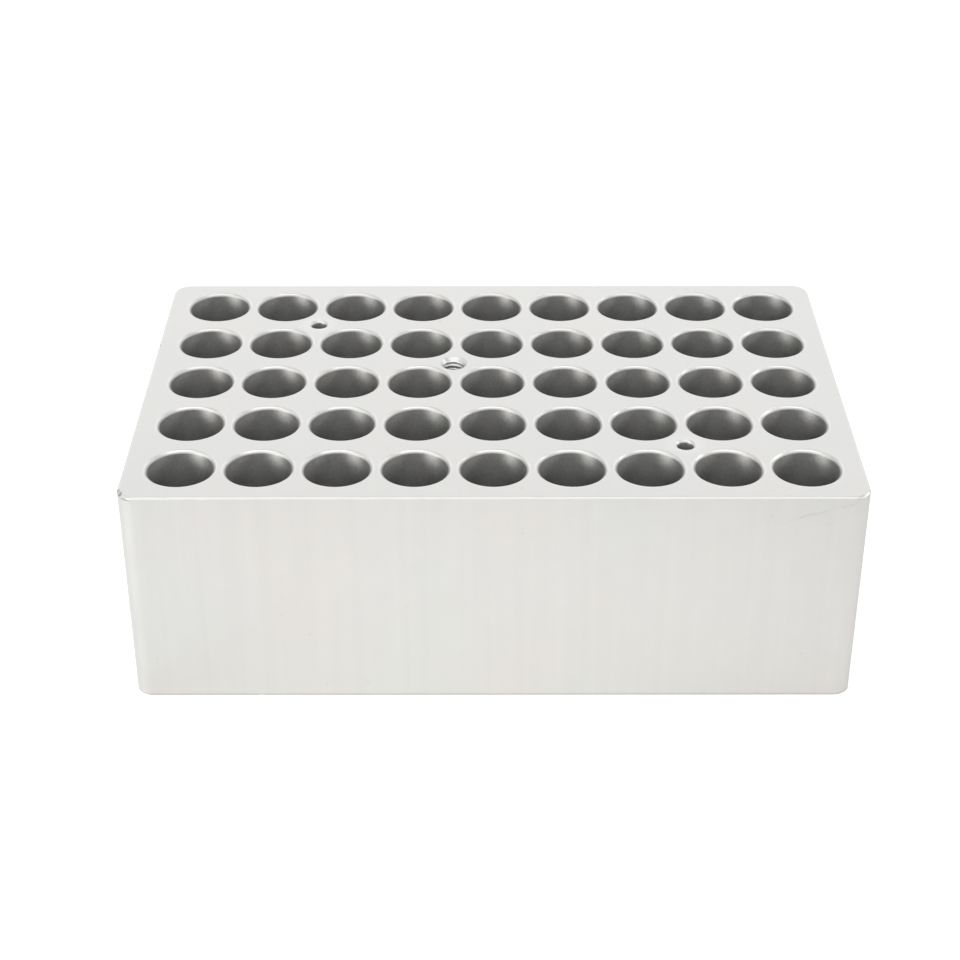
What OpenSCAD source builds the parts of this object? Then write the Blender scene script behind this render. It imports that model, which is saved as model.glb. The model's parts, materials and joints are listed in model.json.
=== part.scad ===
// Heating block of a dry block heater.
// One machined aluminium block with a grid of wells for 1.5 ml tubes,
// two fixing holes on a diagonal, and a tapped hole in its top face
// that takes the lifting screw. The whole block is a single piece.
// X runs along the long side, the front face is at -Y, the block stands
// on Z = 0 and its top face is at Z = block_h.

/* [Block] */
// Length of the block, along X
block_l = 123; // [121:0.5:140]
// Width of the block, along Y
block_w = 79; // [77:0.5:100]
// Height of the block
block_h = 40; // [38:0.5:60]
// Radius of the four upright corners
corner_r = 3; // [1:0.5:8]
// Size of the 45 degree bevel round the top and bottom edges
edge_bevel = 0.3; // [0.1:0.05:0.8]

/* [Tube wells] */
// Number of wells along X
well_cols = 9; // [1:1:9]
// Number of wells along Y
well_rows = 5; // [1:1:5]
// Distance between wells along X
pitch_x = 13; // [12.5:0.25:13]
// Distance between wells along Y
pitch_y = 15; // [12.5:0.25:15]
// Diameter of the straight upper part of a well
well_d = 11; // [10.6:0.1:11.4]
// Depth of the straight upper part, from the top face
well_straight = 17.5; // [12:0.5:22]
// Full depth of a well, from the top face
well_depth = 36; // [30:0.5:37]
// Diameter of the flat floor at the bottom of the taper
well_floor_d = 4.4; // [3:0.2:6]
// Size of the 45 degree bevel round each mouth
mouth_bevel = 0.5; // [0.1:0.05:0.7]

/* [Fixing holes] */
// Diameter of the two plain through holes
fixing_d = 2.8; // [2.4:0.1:3.4]
// Bevel of their mouths, above and below
fixing_bevel = 0.35; // [0.1:0.05:0.6]

/* [Lifting thread] */
// Nominal diameter of the thread, at the root of its grooves
thread_d = 4; // [3.9:0.05:4.1]
// Thread pitch
thread_pitch = 0.7; // [0.7:0.05:0.8]
// Bore through the thread crests
thread_bore_d = 3.3; // [3.2:0.05:3.4]
// Depth of the last full turn, from the top face
thread_depth = 9; // [6:0.5:10]
// Depth of the drilled hole under the thread, without its point
drill_depth = 11; // [10.5:0.5:14]
// Diameter of the countersink at the top face
countersink_d = 5; // [4.2:0.1:5.2]
// Position of the thread from the block's middle, along X
thread_x = -7; // [-7.5:0.1:-6]
// Position of the thread from the block's middle, along Y
thread_y = 7; // [6.5:0.1:8]

/* [Hidden] */

aluminium = [0.89, 0.89, 0.88];
overcut = 1;                   // how far the cutters reach out of a face

// With odd numbers of columns and rows, each fixing hole stands
// in the middle of four wells.
fixing_x = 2.5 * pitch_x;
fixing_y = 1.5 * pitch_y;

bore_r = thread_bore_d / 2;
sink_depth = (countersink_d - thread_bore_d) / 2;  // 45 degree countersink
drill_point_angle = 118;
drill_point = bore_r * tan(90 - drill_point_angle / 2);

thread_angle = 60;             // between the two flanks of a groove
root_half = thread_pitch / 16; // half the width of a groove's flat root
groove_overlap = 0.1;          // how far a groove cutter reaches into the bore
first_turn = sink_depth + 0.4; // depth of the middle of the first groove
turns = floor((thread_depth - first_turn) / thread_pitch) + 1;

// bevelled outer edge of the block, from bottom to top, at a distance
// "reach" from the middle
function edge_points(reach) = [
    [reach - edge_bevel, 0],
    [reach, edge_bevel],
    [reach, block_h - edge_bevel],
    [reach - edge_bevel, block_h]
];

// upright section from the middle outwards, for revolving
function half_section(reach) =
    concat([[0, 0]], edge_points(reach), [[0, block_h]]);

// whole upright section, the right edge and its mirror image
function full_section(reach) =
    let (edge = edge_points(reach))
    concat(edge, [for (i = [3 : -1 : 0]) [-edge[i].x, edge[i].y]]);

// offset from the middle of one place in an evenly spaced row
function row_place(index, count, pitch) = (index - (count - 1) / 2) * pitch;

// solid block with rounded upright corners and bevelled edges:
// two crossing slabs and a revolved post in each corner
module blank() {
    post_x = block_l / 2 - corner_r;
    post_y = block_w / 2 - corner_r;
    rotate([90, 0, 0])
        linear_extrude(height = 2 * post_y, center = true)
            polygon(full_section(block_l / 2));
    rotate([90, 0, 90])
        linear_extrude(height = 2 * post_x, center = true)
            polygon(full_section(block_w / 2));
    for (x = [-post_x, post_x], y = [-post_y, post_y])
        translate([x, y, 0])
            rotate_extrude($fn = 64)
                polygon(half_section(corner_r));
}

// one tube well, its mouth at Z = 0: bevel, straight wall, taper, flat floor
module well() {
    well_r = well_d / 2;
    rotate_extrude($fn = 96)
        polygon([
            [0, overcut],
            [well_r + mouth_bevel + overcut, overcut],
            [well_r, -mouth_bevel],
            [well_r, -well_straight],
            [well_floor_d / 2, -well_depth],
            [0, -well_depth]
        ]);
}

module wells() {
    for (i = [0 : well_cols - 1], j = [0 : well_rows - 1])
        translate([
            row_place(i, well_cols, pitch_x),
            row_place(j, well_rows, pitch_y),
            block_h
        ])
            well();
}

// plain through hole with a bevel at each end
module fixing_hole() {
    hole_r = fixing_d / 2;
    outer_r = hole_r + fixing_bevel + overcut;
    rotate_extrude($fn = 48)
        polygon([
            [0, -overcut],
            [outer_r, -overcut],
            [hole_r, fixing_bevel],
            [hole_r, block_h - fixing_bevel],
            [outer_r, block_h + overcut],
            [0, block_h + overcut]
        ]);
}

// One V groove with a narrow flat root. Each turn is a closed ring, not
// a helix, so every crest is a true cylinder of the bore's diameter.
module thread_groove() {
    inner_r = bore_r - groove_overlap;
    root_r = thread_d / 2;
    mouth_half = root_half + (root_r - inner_r) * tan(thread_angle / 2);
    rotate_extrude($fn = 64)
        polygon([
            [inner_r, -mouth_half], [root_r, -root_half],
            [root_r, root_half], [inner_r, mouth_half]
        ]);
}

// drilled and countersunk hole, its mouth at Z = 0, with the thread grooves
module tapped_hole() {
    rotate_extrude($fn = 64)
        polygon([
            [0, overcut],
            [bore_r + sink_depth + overcut, overcut],
            [bore_r, -sink_depth],
            [bore_r, -drill_depth],
            [0, -drill_depth - drill_point]
        ]);
    for (k = [0 : turns - 1])
        translate([0, 0, -first_turn - k * thread_pitch])
            thread_groove();
}

module heating_block() {
    color(aluminium)
        difference() {
            blank();
            wells();
            // back left and front right
            translate([-fixing_x, fixing_y, 0]) fixing_hole();
            translate([fixing_x, -fixing_y, 0]) fixing_hole();
            translate([thread_x, thread_y, block_h]) tapped_hole();
        }
}

heating_block();
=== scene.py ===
"""Heating block of a dry block heater: one machined aluminium block with its wells, two
through fixing holes and a countersunk tapped hole, all opening on its top face.
Metres, +Z up, front at -Y, right at +X. Two masks drive the material: one marks the bores
and also carries painted shade, the other carries painted highlight on the edges and
painted shade round the block's corners."""
import json
import math

import bpy
import numpy as np
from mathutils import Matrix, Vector
from mathutils.geometry import delaunay_2d_cdt


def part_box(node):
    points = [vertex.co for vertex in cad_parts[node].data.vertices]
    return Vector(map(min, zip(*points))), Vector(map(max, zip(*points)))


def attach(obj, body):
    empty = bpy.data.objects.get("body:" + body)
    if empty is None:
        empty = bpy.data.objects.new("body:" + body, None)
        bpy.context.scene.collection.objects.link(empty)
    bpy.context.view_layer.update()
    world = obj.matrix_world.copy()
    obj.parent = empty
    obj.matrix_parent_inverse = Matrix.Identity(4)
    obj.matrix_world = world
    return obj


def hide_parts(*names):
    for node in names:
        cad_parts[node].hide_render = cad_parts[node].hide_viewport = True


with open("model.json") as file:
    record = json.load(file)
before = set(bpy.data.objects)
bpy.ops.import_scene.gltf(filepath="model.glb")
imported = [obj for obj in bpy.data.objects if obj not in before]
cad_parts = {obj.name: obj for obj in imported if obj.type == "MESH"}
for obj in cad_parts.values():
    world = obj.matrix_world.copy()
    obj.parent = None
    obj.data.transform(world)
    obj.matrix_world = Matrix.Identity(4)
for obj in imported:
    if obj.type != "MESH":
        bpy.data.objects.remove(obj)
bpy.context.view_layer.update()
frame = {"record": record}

MM = 0.001

# ---------------------------------------------------------------- sizes
LO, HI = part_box("heating_block")
TOP, BOTTOM = HI.z, LO.z
MID_HEIGHT = 20.0 * MM
MOUNTS = {mount["name"]: mount for mount in frame["record"]["mounts"]}

EDGE = 0.30 * MM            # bevel round the top edge; half of it round the underside
CORNER = 3.0 * MM           # radius of the upright corners
CORNER_STEPS = 18
EDGE_FLAT = 0.25 * MM       # first run of flat face inside the bevel
LIP_ROWS = (0.5, 0.75, 1.0, 1.4, 1.8)               # rows on the flats, mm inside the bevel
NEAR_ROWS = (0.6, 0.85, 1.1, 1.4, 1.8, 2.2)         # rows on the sides, mm from top or bottom
SIDE_ROWS = (5, 10, 15, 20, 25, 30, 35)             # further rows, mm below the top

WELLS = [mount for name, mount in sorted(MOUNTS.items()) if name.startswith("well_")]
WELL_DEPTH = 36.0 * MM
WELL_FLOOR_R = 2.2 * MM     # where the cone at the foot of a well meets its flat floor
HOLE_SEGMENTS = 64

FIXING = MOUNTS["fixing_holes"]
FIX_R = FIXING["dims"]["hole_r_mm"] * MM
FIX_BEVEL = 0.35 * MM
FIX_ROUND = 0.09 * MM

THREAD = MOUNTS["lifting_thread"]
THREAD_SEGMENTS = 72
CREST_R = THREAD["dims"]["r_mm"] * MM       # bore through the thread crests
ROOT_R = 2.0 * MM
PITCH = 0.7 * MM
FLANK = (ROOT_R - CREST_R) * math.tan(math.radians(30))     # height of one thread flank
SINK_R = 2.5 * MM           # countersink, at the top face
SINK_MOUTH_R = SINK_R + 0.15 * MM
THREAD_END = 9.3 * MM
THREAD_PHASE = 0.26         # puts a crest 1.39 mm down at the back of the hole
THREAD_SHADE = 0.7          # painted shade: bore mask in the thread roots
DRILL_END = TOP - (THREAD["pos_m"][2] - THREAD["dims"]["length_mm"] * MM / 2)
DRILL_POINT = math.radians(31)

# x, y, z, reach and depth of each dent, in metres
DENTS = [
    # the knock at the front left top corner
    (LO.x + 0.42 * MM, LO.y + 1.45 * MM, TOP, 0.75 * MM, 0.30 * MM),
    (LO.x + 0.15 * MM, LO.y + 2.5 * MM, TOP, 0.55 * MM, 0.12 * MM),
    # fine marks along the top edges
    (31.0 * MM, LO.y, TOP, 0.7 * MM, 0.06 * MM),
    (-12.5 * MM, LO.y, TOP, 0.6 * MM, 0.05 * MM),
    (48.0 * MM, LO.y, TOP, 0.9 * MM, 0.06 * MM),
    (HI.x, -8.0 * MM, TOP, 0.8 * MM, 0.08 * MM),
    (20.0 * MM, HI.y, TOP, 0.8 * MM, 0.07 * MM),
    (LO.x, 14.0 * MM, TOP, 0.7 * MM, 0.06 * MM),
    # marks along the bottom edges
    (HI.x - 0.8 * MM, HI.y - 0.9 * MM, BOTTOM, 1.0 * MM, 0.16 * MM),
    (-40.0 * MM, LO.y, BOTTOM, 0.9 * MM, 0.08 * MM),
]
DENT_SLANT = 0.7            # share of a dent's depth pushed inwards, and again up or down
DENT_ROW_STEP = 0.17 * MM   # spacing of the outline points round a dent
OUTLINE_STEP = 2.0 * MM     # spacing elsewhere


# ---------------------------------------------------------------- shape helpers
def unit(value):
    return min(1.0, max(0.0, value))


def bell(value, centre, width):
    return math.exp(-(((value - centre) / width) ** 2))


def blended(points, rounds):
    """A profile of straight runs through points (u, z), with each inner corner rounded.
    rounds holds (radius, steps) for each inner corner."""
    points = [np.array(point, float) for point in points]
    out = [tuple(points[0])]
    for before, corner, after, (radius, steps) in zip(points, points[1:], points[2:], rounds):
        to_before, to_after = before - corner, after - corner
        run_before, run_after = np.linalg.norm(to_before), np.linalg.norm(to_after)
        to_before, to_after = to_before / run_before, to_after / run_after
        turn = math.acos(max(-1.0, min(1.0, float(to_before @ to_after))))
        if abs(turn - math.pi) < 1e-3:      # the runs are in line: nothing to round
            out.append(tuple(corner))
            continue
        # the arc may use no more than 45 % of either run
        cut = min(radius / math.tan(turn / 2), 0.45 * run_before, 0.45 * run_after)
        fitted = cut * math.tan(turn / 2)
        middle = to_before + to_after
        middle = middle / np.linalg.norm(middle)
        centre = corner + middle * (fitted / math.sin(turn / 2))
        start = corner + to_before * cut - centre
        end = corner + to_after * cut - centre
        first = math.atan2(start[1], start[0])
        last = math.atan2(end[1], end[0])
        sweep = (last - first + math.pi) % (2 * math.pi) - math.pi
        for i in range(steps + 1):
            angle = first + sweep * i / steps
            out.append((centre[0] + fitted * math.cos(angle), centre[1] + fitted * math.sin(angle)))
    out.append(tuple(points[-1]))
    return out


def edge_highlight_by_tilt(profile, slight, full):
    """How much painted highlight each profile point gets: slight where the surface has only
    begun to turn over, full at 45 degrees, none where it is flat or steep."""
    out = []
    for k in range(len(profile)):
        before, after = profile[max(0, k - 1)], profile[min(len(profile) - 1, k + 1)]
        tilt = math.degrees(math.atan2(abs(after[1] - before[1]), abs(after[0] - before[0])))
        out.append(float(np.interp(tilt, [1, 9, 28, 45, 70], [0, slight, slight, full, 0])))
    return out


def rear_highlight(angle, bias):
    """Factor on the painted edge highlight round a ring: more at the rear, most at the left rear."""
    degrees = math.degrees(angle)
    rear = 1 - bias + bias * 1.15 * max(0.0, math.sin(angle)) ** 0.7
    return rear * (1 + bias * (1.30 * bell(degrees, 118, 16) - 0.30 * bell(degrees, 150, 12)))


class MeshBuilder:
    """Collects the vertices, point masks and faces of one closed mesh."""

    def __init__(self):
        self.points, self.faces, self.flat = [], [], []
        self.masks = {"bore": [], "edge": []}

    def vert(self, point, bore=0.0, edge=0.0):
        self.points.append(tuple(point))
        self.masks["bore"].append(bore)
        self.masks["edge"].append(edge)
        return len(self.points) - 1

    def face(self, ids, flat=False):
        self.faces.append(tuple(ids))
        self.flat.append(flat)

    def ring(self, x, y, radius, z, count, bore=0.0, edge=0.0, rear_bias=0.0):
        out = []
        for i in range(count):
            angle = 2 * math.pi * i / count
            point = (x + radius * math.cos(angle), y + radius * math.sin(angle), z)
            out.append(self.vert(point, bore, edge * rear_highlight(angle, rear_bias)))
        return out

    def bridge(self, upper, lower, flip=False, flat=None):
        count = len(upper)
        for i in range(count):
            j = (i + 1) % count
            quad = (upper[i], upper[j], lower[j], lower[i])
            self.face(quad[::-1] if flip else quad, bool(flat[i]) if flat else False)

    def fan(self, ring, centre, flat):
        for i in range(len(ring)):
            self.face((ring[i], ring[(i + 1) % len(ring)], centre), flat)

    def hole(self, x, y, profile, bores, edges, rear_bias=0.0):
        """Wall of a round hole. profile is (radius, z) from the mouth down."""
        rings = [
            self.ring(x, y, radius, z, HOLE_SEGMENTS, bore, edge, rear_bias)
            for (radius, z), bore, edge in zip(profile, bores, edges)
        ]
        for upper, lower in zip(rings, rings[1:]):
            self.bridge(upper, lower)
        return rings

    def build(self, name):
        mesh = bpy.data.meshes.new(name)
        mesh.from_pydata(self.points, [], self.faces)
        mesh.update()
        for polygon, flat in zip(mesh.polygons, self.flat):
            polygon.use_smooth = not flat
        for key, values in self.masks.items():
            attribute = mesh.attributes.new(key, "FLOAT", "POINT")
            attribute.data.foreach_set("value", np.array(values, np.float32))
        mesh.validate()
        obj = bpy.data.objects.new(name, mesh)
        bpy.context.scene.collection.objects.link(obj)
        return obj


# ---------------------------------------------------------------- outer skin
def side_places(length, marks):
    """Places along a straight side, evenly apart and close together round each mark."""
    count = round(length / OUTLINE_STEP)
    places = {round(length * i / count, 7) for i in range(1, count)}
    for mark in marks:
        places |= {round(mark + i * DENT_ROW_STEP, 7) for i in range(-5, 6)}
    out = []
    for place in sorted(places):
        inside = 0.08 * MM < place < length - 0.08 * MM
        if inside and (not out or place - out[-1] > 0.1 * MM):
            out.append(place)
    return out


def outline(inset):
    """Points round the block, inset from its sides: (x, y, outward x, outward y, whether a
    straight run starts or goes on here), anticlockwise from the right side's back end."""
    radius = CORNER - inset
    centre_x, centre_y = HI.x - CORNER, HI.y - CORNER
    corners = [(1, 1), (-1, 1), (-1, -1), (1, -1)]
    out = []

    def on_corner(corner, cos, sin):
        return corner[0] * centre_x + radius * cos, corner[1] * centre_y + radius * sin

    for k, corner in enumerate(corners):
        for i in range(CORNER_STEPS + 1):
            angle = math.radians(90 * k + 90 * i / CORNER_STEPS)
            cos, sin = math.cos(angle), math.sin(angle)
            out.append((*on_corner(corner, cos, sin), cos, sin, i == CORNER_STEPS))
        # straight run to the next corner, whose outward direction is the arc's last one
        start = np.array(on_corner(corner, cos, sin))
        end = np.array(on_corner(corners[(k + 1) % 4], cos, sin))
        length = float(np.linalg.norm(end - start))
        along = (end - start) / length
        marks = []
        for dent_x, dent_y, *_ in DENTS:
            offset = np.array([dent_x, dent_y]) - start
            if abs(float(offset @ np.array([cos, sin])) - inset) < 1.2 * MM:
                marks.append(float(offset @ along))
        for place in side_places(length, marks):
            point = start + along * place
            out.append((point[0], point[1], cos, sin, True))
    return out


def dent_depth(x, y, z):
    """How far the skin is pushed in by the dents."""
    total = 0.0
    for dent_x, dent_y, dent_z, reach, depth in DENTS:
        away = ((x - dent_x) ** 2 + (y - dent_y) ** 2 + (z - dent_z) ** 2) / (reach * reach)
        if away < 1:
            total += depth * (1 - away) ** 2
    return total


def skin_masks(inset, z, out_x, out_y, push, tilt_highlight):
    """The two masks of a skin point: the first paints shade into the dents facing left and a
    shadow along the foot of the sides; the second paints a highlight on the straight
    edges and shade round the corners.
    """
    painted_shade = 0.0
    if out_x < -0.3 and push > 0.02 * MM:       # painted shade in the dents facing left
        painted_shade = min(0.85, push / (0.09 * MM))
    # painted shadow along the lowest half millimetre, where the block stands on the floor
    above = BOTTOM + 0.5 * MM - z
    low = z < BOTTOM + 0.5 * MM
    if low:
        painted_shade = max(painted_shade, 0.45 * min(1.0, above / (0.3 * MM)))
    if low or painted_shade:
        return painted_shade, 0.0
    # round the corners the edge gets painted shade instead of a painted highlight
    cornering = min(1.0, min(abs(out_x), abs(out_y)) / 0.2)
    steep = unit((0.8 * MM - (TOP - z)) / (0.4 * MM)) if inset < 0.6 * EDGE else 0.0
    # more painted shade at the front left corner, where the left lamps' highlight falls
    front_left = bell(math.degrees(math.atan2(-out_x, -out_y)), 30, 15)
    corner_shade = max(0.20 if tilt_highlight > 0.02 else 0.0, 0.25 * steep) * cornering
    corner_shade += 1.6 * steep * front_left
    return 0.0, tilt_highlight * (1 - cornering) - corner_shade


def skin_profile():
    """(inset, z) from the top face over the edge and down to the underside."""
    flat = EDGE + EDGE_FLAT
    low = 0.5 * EDGE
    near = NEAR_ROWS[-1] * MM
    top_edge = [(flat, TOP), (EDGE, TOP), (0, TOP - EDGE), (0, TOP - near)]
    bottom_edge = [(0, BOTTOM + near), (0, BOTTOM + low), (low, BOTTOM), (flat, BOTTOM)]
    profile = [(EDGE + row * MM, TOP) for row in LIP_ROWS[::-1]]
    profile += blended(top_edge, [(0.16 * MM, 4)] * 2)[:-1]
    profile += [(0, TOP - row * MM) for row in NEAR_ROWS + SIDE_ROWS]
    profile += [(0, BOTTOM + row * MM) for row in NEAR_ROWS[::-1]]
    profile += blended(bottom_edge, [(0.10 * MM, 4)] * 2)[1:]
    profile += [(EDGE + row * MM, BOTTOM) for row in LIP_ROWS]
    return profile


def outer_skin(mesh):
    """Builds the sides and edges. Returns the inmost rings on the top face and underside."""
    profile = skin_profile()
    rings = []
    # painted highlight along the edges, where the skin begins to turn over
    for (inset, z), tilt_highlight in zip(profile, edge_highlight_by_tilt(profile, slight=0.28, full=0.0)):
        points = outline(inset)
        ids = []
        for x, y, out_x, out_y, _ in points:
            push = dent_depth(x, y, z)
            slant = push * DENT_SLANT
            dz = -slant if z > MID_HEIGHT else slant
            masks = skin_masks(inset, z, out_x, out_y, push, tilt_highlight)
            ids.append(mesh.vert((x - out_x * slant, y - out_y * slant, z + dz), *masks))
        rings.append(ids)
    straight = [point[-1] for point in points]
    on_side = [here and after for here, after in zip(straight, straight[1:] + straight[:1])]
    for k in range(len(rings) - 1):
        (inset, z), (next_inset, next_z) = profile[k], profile[k + 1]
        upright = abs(inset - next_inset) < 1e-9 and abs(z - next_z) > 1.0 * MM
        mesh.bridge(rings[k], rings[k + 1], flip=True, flat=[upright and s for s in on_side])
    return rings[0], rings[-1]


# ---------------------------------------------------------------- holes
# Each gives (x, y, mouth radius, mouth ring) for the flat face it opens on.
def well(mesh, mount):
    x, y, z_middle = mount["pos_m"][:3]
    radius = mount["dims"]["r_mm"] * MM
    length = mount["dims"]["length_mm"] * MM
    wall_top, wall_end = z_middle + length / 2, z_middle - length / 2
    chamfer = TOP - wall_top
    floor_z = TOP - WELL_DEPTH
    raw = [
        (radius + chamfer + 0.42 * MM, TOP), (radius + chamfer + 0.03 * MM, TOP),
        (radius, wall_top), (radius, wall_end),
        (WELL_FLOOR_R, floor_z), (0.9 * MM, floor_z),
    ]
    profile = blended(raw, [(0.50 * MM, 5), (0.10 * MM, 3), (1.2 * MM, 3), (0.5 * MM, 2)])
    # rings down the straight wall, so that the masks change where they should
    last = max(i for i, (_, z) in enumerate(profile) if z > wall_top - 0.4 * MM)
    profile[last + 1:last + 1] = [(radius, TOP - row * MM) for row in (1.4, 4, 9)]
    # painted shade from part way down the mouth's chamfer, through the bore mask
    bores = [unit((TOP - z - chamfer * 0.70) / (0.14 * MM)) for _, z in profile]
    # painted highlight on the rounded rim, more at the rear
    edges = [
        rim_highlight if z > wall_top - 0.2 * MM else 0.0
        for rim_highlight, (_, z) in zip(edge_highlight_by_tilt(profile, slight=0.85, full=0.50), profile)
    ]
    rings = mesh.hole(x, y, profile, bores, edges, rear_bias=0.75)
    mesh.fan(rings[-1], mesh.vert((x, y, floor_z), bores[-1]), flat=True)
    return x, y, profile[0][0], rings[0]


def fixing_places():
    """One hole at the back left, one at the front right, on the bolt circle and
    two and a half well pitches either side of its middle."""
    radius = FIXING["dims"]["pcd_mm"] * MM / 2
    columns = sorted({round(mount["pos_m"][0], 6) for mount in WELLS})
    dx = 2.5 * (columns[1] - columns[0])
    dy = math.sqrt(radius * radius - dx * dx)
    x, y = FIXING["pos_m"][:2]
    return [(x - dx, y + dy), (x + dx, y - dy)]


def fixing_hole(mesh, x, y):
    """A through hole bevelled at both ends. Returns its top and bottom mouths."""
    bevel_r = FIX_R + FIX_BEVEL
    mouth_r = bevel_r + 0.12 * MM
    raw = [
        (mouth_r, TOP), (bevel_r, TOP), (FIX_R, TOP - FIX_BEVEL),
        (FIX_R, BOTTOM + FIX_BEVEL), (bevel_r, BOTTOM), (mouth_r, BOTTOM),
    ]
    profile = blended(raw, [(FIX_ROUND, 3)] * 4)
    middle = len(profile) // 2
    wall_rows = (1.5, 4, 10, 20, 30, 36, 38.5)      # mm below the top
    profile[middle:middle] = [(FIX_R, TOP - row * MM) for row in wall_rows]
    inward = [min(TOP - z, z - BOTTOM) for _, z in profile]
    # painted shade on the wall below each bevel, painted highlight across each bevel
    bores = [unit((deep - FIX_BEVEL * 0.75) / (0.2 * MM)) for deep in inward]
    edges = [0.4 * max(0.0, 1 - abs(deep - FIX_BEVEL / 2) / (FIX_BEVEL * 0.9)) for deep in inward]
    rings = mesh.hole(x, y, profile, bores, edges)
    return (x, y, profile[0][0], rings[0]), (x, y, profile[-1][0], rings[-1])


def thread_wall(angle, depth):
    """Radius of the right-hand thread, the place within its pitch (crest at 0.5), and how
    far it is cut towards the root, 0 to 1."""
    place = (depth / PITCH + angle / (2 * math.pi) + THREAD_PHASE) % 1.0
    off_crest = abs(place - 0.5) * PITCH
    softening = (-0.025 * MM, 0.0, 0.025 * MM)      # averaged, to soften crest and root
    cut = sum(unit((off_crest + soft - PITCH / 8) / FLANK) for soft in softening) / 3
    fade = unit((THREAD_END - depth) / (0.5 * MM))
    return CREST_R + (ROOT_R - CREST_R) * cut * fade, place, cut


def thread_point(angle, depth):
    """Radius, painted shade mask and painted highlight mask of the tapped hole's wall."""
    rear = math.sin(angle)
    radius, place, cut = thread_wall(angle, depth)
    # the first crest is cut back by the countersink
    cut_back = (0.22 if rear < 0 else 0.13 + 0.09 * (1 - rear)) * MM
    radius += cut_back * unit((1.5 * MM - depth) / (0.5 * MM)) * (1.0 - cut)
    sink = SINK_R - depth
    if radius <= sink:
        return sink, 0.0, 0.0
    # painted shade below each crest and at the sides, painted highlight on its upper flank at the
    # rear
    shade, crest_highlight = 1.0, 0.0
    if place < 0.64:
        shade = cut ** 2.5
        crest_highlight = 1.7 * (1.0 - cut * cut) * max(0.0, rear) ** 2
    shade += (1.0 - shade) * 0.55 * (1.0 - abs(rear))
    # little painted shade on the front wall
    if rear < -0.2:
        shade *= 0.2
    return radius, THREAD_SHADE * shade, crest_highlight


def tapped_hole(mesh):
    x, y = THREAD["pos_m"][:2]
    depths = [0.012, 0.03, 0.06, 0.12, 0.2, 0.3, 0.4]       # mm; fine steps, then coarse
    for limit, step in ((3.0, 0.024), (9.4, 0.14)):
        while depths[-1] < limit:
            depths.append(depths[-1] + step)
    rings = [
        mesh.ring(x, y, radius, TOP, THREAD_SEGMENTS) for radius in (SINK_MOUTH_R, SINK_R + 0.04 * MM)
    ]
    for depth in depths:
        depth *= MM
        ids = []
        for i in range(THREAD_SEGMENTS):
            angle = 2 * math.pi * i / THREAD_SEGMENTS
            radius, bore, edge = thread_point(angle, depth)
            point = (x + radius * math.cos(angle), y + radius * math.sin(angle), TOP - depth)
            ids.append(mesh.vert(point, bore, edge))
        rings.append(ids)
    plain_bore = (      # radius, z
        (CREST_R, TOP - 9.8 * MM),
        (CREST_R, TOP - DRILL_END + 0.1 * MM),
        (CREST_R - 0.1 * MM, TOP - DRILL_END - 0.03 * MM),
    )
    rings += [mesh.ring(x, y, radius, z, THREAD_SEGMENTS, bore=1.0) for radius, z in plain_bore]
    for upper, lower in zip(rings, rings[1:]):
        mesh.bridge(upper, lower)
    tip = mesh.vert((x, y, TOP - DRILL_END - CREST_R * math.tan(DRILL_POINT)), bore=1.0)
    mesh.fan(rings[-1], tip, flat=False)
    return x, y, SINK_MOUTH_R, rings[0]


# ---------------------------------------------------------------- the block
def flat_face(mesh, border, mouths, up):
    """Triangulates the top face or the underside round its holes."""
    ids, edges = [], []
    for ring in [border] + [mouth[-1] for mouth in mouths]:
        base = len(ids)
        ids += ring
        edges += [(base + i, base + (i + 1) % len(ring)) for i in range(len(ring))]
    flat = [Vector(mesh.points[i][:2]) for i in ids]
    points, _, triangles, origins, _, _ = delaunay_2d_cdt([p / MM for p in flat], edges, [], 0, 1e-6)
    if not all(origins):
        raise RuntimeError("the flat face made new points")
    for triangle in triangles:
        centre = sum((points[i] * MM for i in triangle), Vector((0, 0))) / len(triangle)
        if any(
            (centre.x - x) ** 2 + (centre.y - y) ** 2
            < (radius * math.cos(math.pi / len(ring))) ** 2
            for x, y, radius, ring in mouths
        ):
            continue
        corners = [origins[i][0] for i in triangle]
        first, second, third = (flat[i] for i in corners)
        anticlockwise = (second - first).cross(third - first) > 0
        face = [ids[i] for i in corners]
        mesh.face(face if anticlockwise == up else face[::-1], flat=True)


def heating_block():
    mesh = MeshBuilder()
    top_border, bottom_border = outer_skin(mesh)
    top_mouths = [well(mesh, mount) for mount in WELLS]
    bottom_mouths = []
    for x, y in fixing_places():
        top_mouth, bottom_mouth = fixing_hole(mesh, x, y)
        top_mouths.append(top_mouth)
        bottom_mouths.append(bottom_mouth)
    top_mouths.append(tapped_hole(mesh))
    flat_face(mesh, top_border, top_mouths, up=True)
    flat_face(mesh, bottom_border, bottom_mouths, up=False)
    return mesh.build("machined_heating_block")


block = heating_block()


# ---------------------------------------------------------------- material
SKIN_COOL, SKIN_WARM = (0.652, 0.656, 0.642), (0.664, 0.654, 0.640)
SIDE_TINT = (1.0, 0.992, 0.978)         # the sides are a touch warmer than the top
# painted shade: the bores are coloured darker than the skin
BORE_COLOUR_WITH_SHADE = (0.320, 0.317, 0.306)
SKIN_ROUGH, BORE_ROUGH = 0.38, 0.62
BORE_ANISO = 0.80
EDGE_HIGHLIGHT_GAIN = 0.30                        # painted highlight: brightening where the edge mask is 1, darkening where it is below 0


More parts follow.
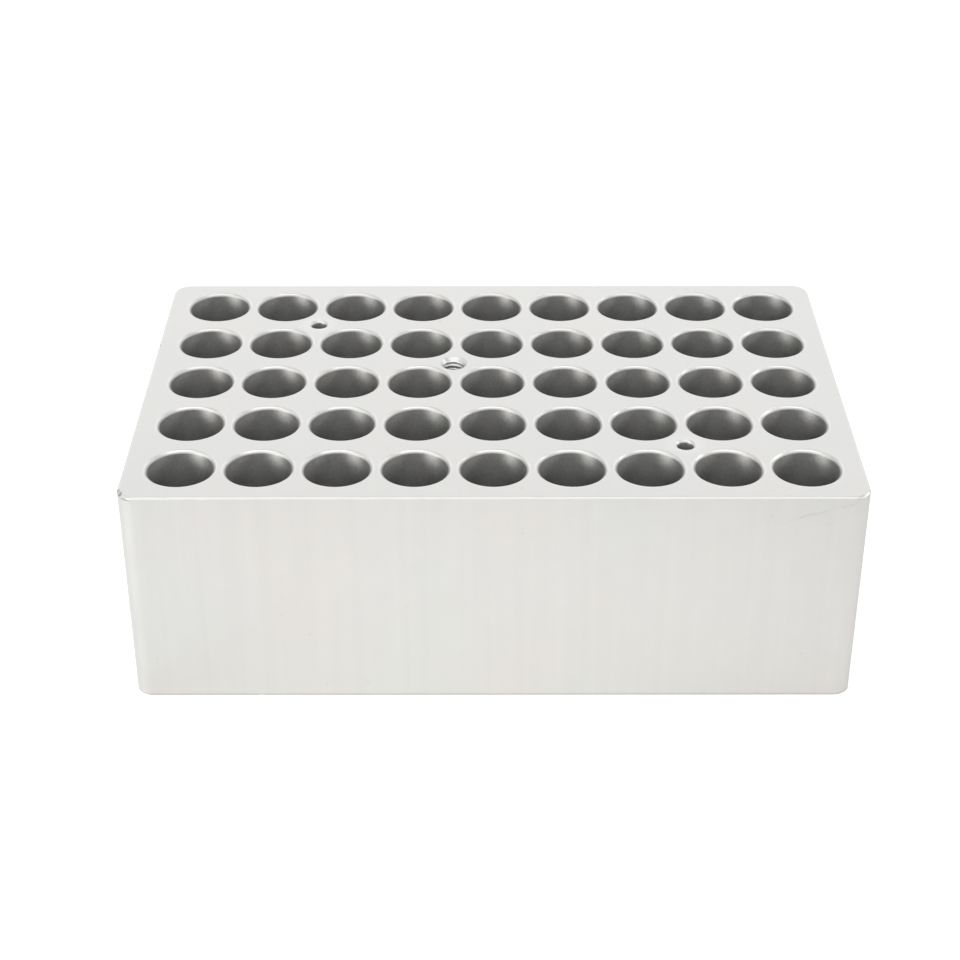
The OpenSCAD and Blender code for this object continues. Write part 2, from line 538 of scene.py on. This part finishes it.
class Nodes:
    """A short way to write a node tree."""

    def __init__(self, name):
        self.mat = bpy.data.materials.new(name)
        self.mat.use_nodes = True
        self.tree = self.mat.node_tree
        self.bsdf = self.tree.nodes["Principled BSDF"]

    def new(self, kind, **settings):
        node = self.tree.nodes.new(kind)
        for key, value in settings.items():
            setattr(node, key, value)
        return node

    def feed(self, source, socket):
        """Sets a socket from a number, a colour or another socket."""
        if isinstance(source, (int, float)):
            socket.default_value = source
        elif isinstance(source, tuple):
            socket.default_value = (*source, 1.0)
        else:
            self.tree.links.new(source, socket)

    def math(self, operation, *values):
        node = self.new("ShaderNodeMath", operation=operation)
        for value, socket in zip(values, node.inputs):
            self.feed(value, socket)
        return node.outputs[0]

    def add(self, first, second):
        return self.math("ADD", first, second)

    def subtract(self, first, second):
        return self.math("SUBTRACT", first, second)

    def times(self, first, second):
        return self.math("MULTIPLY", first, second)

    def affine(self, value, gain, offset):
        return self.math("MULTIPLY_ADD", value, gain, offset)

    def vary(self, noise, swing, middle=0.0):
        """A noise of 0 to 1 spread by swing about a middle value."""
        return self.affine(noise, swing, middle - swing / 2)

    def step(self, value, start, end, low=0.0, high=1.0):
        """Smooth step from low at start to high at end."""
        node = self.new("ShaderNodeMapRange", interpolation_type="SMOOTHSTEP")
        for source, socket in zip((value, start, end, low, high), node.inputs):
            self.feed(source, socket)
        return node.outputs[0]

    def noise(self, vector, scale, detail=2.0, roughness=0.5):
        node = self.new("ShaderNodeTexNoise")
        node.inputs["Scale"].default_value = scale
        node.inputs["Detail"].default_value = detail
        node.inputs["Roughness"].default_value = roughness
        self.feed(vector, node.inputs["Vector"])
        return node.outputs[0]

    def stretch(self, vector, scale):
        node = self.new("ShaderNodeMapping")
        node.inputs["Scale"].default_value = scale
        self.feed(vector, node.inputs["Vector"])
        return node.outputs[0]

    def scaled(self, vector, factor):
        node = self.new("ShaderNodeVectorMath", operation="SCALE")
        self.feed(vector, node.inputs[0])
        self.feed(factor, node.inputs["Scale"])
        return node.outputs[0]

    def split(self, vector):
        node = self.new("ShaderNodeSeparateXYZ")
        self.feed(vector, node.inputs[0])
        return node.outputs

    def mix(self, factor, first, second):
        node = self.new("ShaderNodeMix", data_type="RGBA")
        for source, k in ((factor, 0), (first, 6), (second, 7)):
            self.feed(source, node.inputs[k])
        return node.outputs[2]

    def attribute(self, name):
        return self.new("ShaderNodeAttribute", attribute_name=name).outputs["Fac"]


def pits(nodes, place, outer):
    """Tiny dark pits, far apart, outside the bores."""
    cells = nodes.new("ShaderNodeTexVoronoi", feature="F1")
    cells.inputs["Scale"].default_value = 0.42
    nodes.feed(place, cells.inputs["Vector"])
    seed = nodes.split(cells.outputs["Color"])
    few = nodes.step(seed[0], start=0.88, end=0.93)
    size = nodes.affine(seed[1], gain=0.05, offset=0.035)
    beyond = nodes.subtract(cells.outputs["Distance"], size)
    return nodes.times(nodes.times(nodes.step(beyond, start=0.045, end=0.0), few), outer)


def scratch(nodes, place, facing_y, start, end, width, wave):
    """A wavering, broken line on the front face between two (x, z) places, all in mm."""
    x, _, z = nodes.split_place
    run_x, run_z = end[0] - start[0], end[1] - start[1]
    length = math.hypot(run_x, run_z)
    way_x, way_z = run_x / length, run_z / length
    dx, dz = nodes.subtract(x, start[0]), nodes.subtract(z, start[1])
    along = nodes.add(nodes.times(dx, way_x), nodes.times(dz, way_z))
    across = nodes.add(nodes.times(dx, -way_z), nodes.times(dz, way_x))
    waver = nodes.vary(nodes.noise(place, scale=0.35), swing=wave)
    off_line = nodes.math("ABSOLUTE", nodes.add(across, waver))
    line = nodes.step(off_line, start=width, end=width * 0.25)
    ends = nodes.times(
        nodes.step(along, start=-0.3, end=1.2),
        nodes.step(along, start=length + 0.3, end=length - 2.5),
    )
    front = nodes.step(facing_y, start=-0.9, end=-0.98)
    broken = nodes.step(nodes.noise(place, scale=1.1), start=0.40, end=0.60, low=0.25)
    return nodes.times(nodes.times(line, ends), nodes.times(front, broken))


def side_painted_shade(nodes, x, z):
    """Painted shade: slight darkening of the sides towards both ends and, most of all, the top."""
    across = nodes.math("DIVIDE", x, 60.0)
    height = nodes.affine(z, gain=0.05, offset=-1.0)
    darkening = nodes.affine(nodes.times(across, across), gain=-0.068, offset=-0.0080)
    lean = nodes.affine(height, gain=-0.023, offset=nodes.times(across, -0.0055))
    darkening = nodes.add(darkening, lean)
    return nodes.affine(nodes.times(height, height), gain=-0.039, offset=darkening)


def aluminium():
    nodes = Nodes("satin_anodised_aluminium")
    add, subtract, times, vary = nodes.add, nodes.subtract, nodes.times, nodes.vary
    object_place = nodes.new("ShaderNodeTexCoord").outputs["Object"]
    place = nodes.scaled(object_place, 1000.0)      # millimetres
    nodes.split_place = nodes.split(place)
    x, _, z = nodes.split_place
    facing = nodes.split(nodes.new("ShaderNodeNewGeometry").outputs["True Normal"])
    up = nodes.step(nodes.math("ABSOLUTE", facing[2]), start=0.80, end=0.97)
    side = subtract(1.0, up)
    # upright faces only, not the bevels
    wall = nodes.step(nodes.math("ABSOLUTE", facing[2]), start=0.60, end=0.25)
    bore, edge = nodes.attribute("bore"), nodes.attribute("edge")
    outer = subtract(1.0, bore)

    # blasted grain, fine and even, with coarser clouds under it
    grain = nodes.noise(place, scale=7.0, detail=3.0, roughness=0.62)
    fine = nodes.noise(place, scale=19.0, roughness=0.6)
    cloud = nodes.noise(place, scale=0.045, detail=3.0)
    patch = nodes.noise(place, scale=0.22)
    # faint upright bands on the sides
    band = nodes.noise(nodes.stretch(place, (0.55, 0.55, 0.012)), scale=1.0, roughness=0.55)
    # round tool marks and mottling inside the bores
    turned = nodes.noise(nodes.stretch(place, (0.12, 0.12, 5.5)), scale=1.0)
    mottle = nodes.noise(place, scale=2.2, detail=3.0, roughness=0.6)
    pit = pits(nodes, place, outer)
    # a long scratch and a fainter short one, near the right end of the front face
    long_mark = scratch(nodes, place, facing[1], (48.0, 35.6), (59.6, 39.2), width=0.30, wave=0.9)
    short_mark = scratch(nodes, place, facing[1], (53.5, 34.7), (56.5, 35.1), width=0.20, wave=0.5)
    marks = nodes.math("MAXIMUM", long_mark, times(short_mark, 0.5))

    # colour
    tint = nodes.mix(nodes.step(cloud, start=0.36, end=0.64), SKIN_COOL, SKIN_WARM)
    level = add(vary(grain, swing=0.050, middle=1.0), vary(patch, swing=0.030))
    level = add(level, times(vary(band, swing=0.050), side))
    # painted shade on the upright faces
    level = add(level, times(side_painted_shade(nodes, x, z), wall))
    for dark, amount in ((pit, 0.10), (marks, 0.085)):
        level = subtract(level, times(dark, amount))
    # painted highlight on the edges, painted shade where the edge mask is below 0
    level = add(level, times(edge, EDGE_HIGHLIGHT_GAIN))
    bore_level = add(vary(mottle, swing=0.60, middle=1.0), vary(turned, swing=0.16))
    bore_rgb = nodes.new("ShaderNodeRGB").outputs[0]
    nodes.feed(BORE_COLOUR_WITH_SHADE, bore_rgb)
    skin = nodes.new("ShaderNodeVectorMath", operation="MULTIPLY")
    nodes.feed(nodes.scaled(tint, level), skin.inputs[0])
    nodes.feed(nodes.mix(wall, (1.0, 1.0, 1.0), SIDE_TINT), skin.inputs[1])
    # the bore mask mixes in the darker bore colour: painted shade in the bores, the thread roots, the
    # dents facing left and along the foot
    colour = nodes.mix(bore, skin.outputs[0], nodes.scaled(bore_rgb, bore_level))
    nodes.feed(colour, nodes.bsdf.inputs["Base Color"])
    nodes.bsdf.inputs["Metallic"].default_value = 1.0

    # roughness
    rough = add(vary(grain, swing=0.10, middle=SKIN_ROUGH), vary(patch, swing=0.06))
    rough = subtract(rough, times(edge, 0.06))
    bore_rough = add(vary(mottle, swing=0.14, middle=BORE_ROUGH), vary(turned, swing=0.08))
    rough = add(times(rough, outer), times(bore_rough, bore))
    nodes.feed(rough, nodes.bsdf.inputs["Roughness"])
    # the turned rings in the bores spread light up and down the wall more than round it
    nodes.feed(times(bore, BORE_ANISO), nodes.bsdf.inputs["Anisotropic"])
    upward = nodes.new("ShaderNodeCombineXYZ")
    upward.inputs[2].default_value = 1.0
    nodes.feed(upward.outputs[0], nodes.bsdf.inputs["Tangent"])

    # relief, in mm
    relief = times(add(times(grain, 0.010), times(fine, 0.005)), outer)
    relief = add(relief, times(add(times(turned, 0.012), times(mottle, 0.010)), bore))
    for sunk, depth in ((pit, 0.03), (marks, 0.02)):
        relief = subtract(relief, times(sunk, depth))
    bump = nodes.new("ShaderNodeBump")
    bump.inputs["Strength"].default_value = 1.0
    bump.inputs["Distance"].default_value = MM
    nodes.feed(relief, bump.inputs["Height"])
    nodes.feed(bump.outputs[0], nodes.bsdf.inputs["Normal"])
    return nodes.mat


block.data.materials.append(aluminium())

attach(block, "root")
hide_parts("heating_block")


# ---------------------------------------------------------------- floor and surround
FLOOR_HALF = 6.0
FLOOR_GLOW = 0.25           # whitens the floor to the camera, not in what the metal reflects
SURROUND_LIGHT = 0.65
SURROUND_EXTRA = 0.40       # added only where the camera sees the surround


def pale_floor():
    nodes = Nodes("pale_floor")
    sockets = nodes.bsdf.inputs
    sockets["Base Color"].default_value = (0.92, 0.92, 0.92, 1)
    sockets["Roughness"].default_value = 0.9
    sockets["Specular IOR Level"].default_value = 0.0
    sockets["Emission Color"].default_value = (1, 1, 1, 1)
    camera_ray = nodes.new("ShaderNodeLightPath").outputs["Is Camera Ray"]
    nodes.feed(nodes.times(camera_ray, FLOOR_GLOW), sockets["Emission Strength"])
    return nodes.mat


floor_mesh = bpy.data.meshes.new("floor")
floor_corners = [
    (side_x * FLOOR_HALF, side_y * FLOOR_HALF, BOTTOM)
    for side_x, side_y in ((-1, -1), (1, -1), (1, 1), (-1, 1))
]
floor_mesh.from_pydata(floor_corners, [], [(0, 1, 2, 3)])
floor = bpy.data.objects.new("floor", floor_mesh)
bpy.context.scene.collection.objects.link(floor)
floor.data.materials.append(pale_floor())

world = bpy.data.worlds.new("studio")
bpy.context.scene.world = world
world.use_nodes = True
tree = world.node_tree
background = tree.nodes["Background"]
background.inputs[0].default_value = (1, 1, 1, 1)
light_path = tree.nodes.new("ShaderNodeLightPath")
surround = tree.nodes.new("ShaderNodeMath")
surround.operation = "MULTIPLY_ADD"
surround.inputs[1].default_value = SURROUND_EXTRA
surround.inputs[2].default_value = SURROUND_LIGHT
tree.links.new(light_path.outputs["Is Camera Ray"], surround.inputs[0])
tree.links.new(surround.outputs[0], background.inputs[1])


# ---------------------------------------------------------------- lights
def around(azimuth, elevation):
    """A place 1 m from the block: azimuth from the front, positive to the right, and
    elevation, in degrees."""
    turn, rise = math.radians(azimuth), math.radians(elevation)
    return (
        math.cos(rise) * math.sin(turn),
        -math.cos(rise) * math.cos(turn),
        BOTTOM + 0.03 + math.sin(rise),
    )


def softbox(name, place, target, size, power):
    data = bpy.data.lights.new(name, "AREA")
    data.shape = "RECTANGLE"
    data.size, data.size_y = size
    data.energy = power
    box = bpy.data.objects.new(name, data)
    box.location = place
    toward = Vector(target) - Vector(place)
    box.rotation_euler = toward.to_track_quat("-Z", "Y").to_euler()
    box.visible_camera = False
    bpy.context.scene.collection.objects.link(box)


AIM = (0, 0, TOP)
SOFTBOXES = [       # name, place, target, (width, height) in metres, watts
    ("key_left_low", around(-55, 10), AIM, (0.70, 0.20), 8.8),
    ("key_left", around(-62, 23), AIM, (0.70, 0.22), 2.0),
    ("side_left", around(-100, 22), AIM, (0.40, 0.40), 0.4),
    ("front", around(5, 23), AIM, (0.90, 0.24), 0.97),
    ("front_top", (0.0, -0.45, 1.05), AIM, (1.40, 0.50), 2.8),
    ("fill_right_low", around(62, 10), AIM, (0.60, 0.20), 1.55),
    ("fill_right", around(66, 23), AIM, (0.60, 0.22), 0.6),
    ("side_right", around(105, 25), AIM, (0.40, 0.40), 1.2),
    ("behind", (0, 1.5, 0.75), (0, 0, 0.3), (3.4, 1.5), 10.2),
]
for entry in SOFTBOXES:
    softbox(*entry)

# ---------------------------------------------------------------- camera, from the front
VIEW_ELEVATION = math.radians(31.280)
VIEW_AZIMUTH = math.radians(-0.089)
VIEW_DISTANCE = 0.326955
VIEW_AIM = Vector((-2.194 * MM, -33.924 * MM, TOP))

back = Vector((
    math.sin(VIEW_AZIMUTH) * math.cos(VIEW_ELEVATION),
    -math.cos(VIEW_AZIMUTH) * math.cos(VIEW_ELEVATION),
    math.sin(VIEW_ELEVATION),
))
camera_data = bpy.data.cameras.new("camera")
camera_data.sensor_width = 36.0
camera_data.lens = 74.6835
camera_data.shift_x = -0.00052083
camera_data.clip_start, camera_data.clip_end = 0.01, 50
camera = bpy.data.objects.new("camera", camera_data)
camera.location = VIEW_AIM + back * VIEW_DISTANCE
camera.rotation_euler = (-back).to_track_quat("-Z", "Y").to_euler()
scene = bpy.context.scene
scene.collection.objects.link(camera)
scene.camera = camera
scene.view_settings.view_transform = "Standard"
scene.view_settings.look = "None"
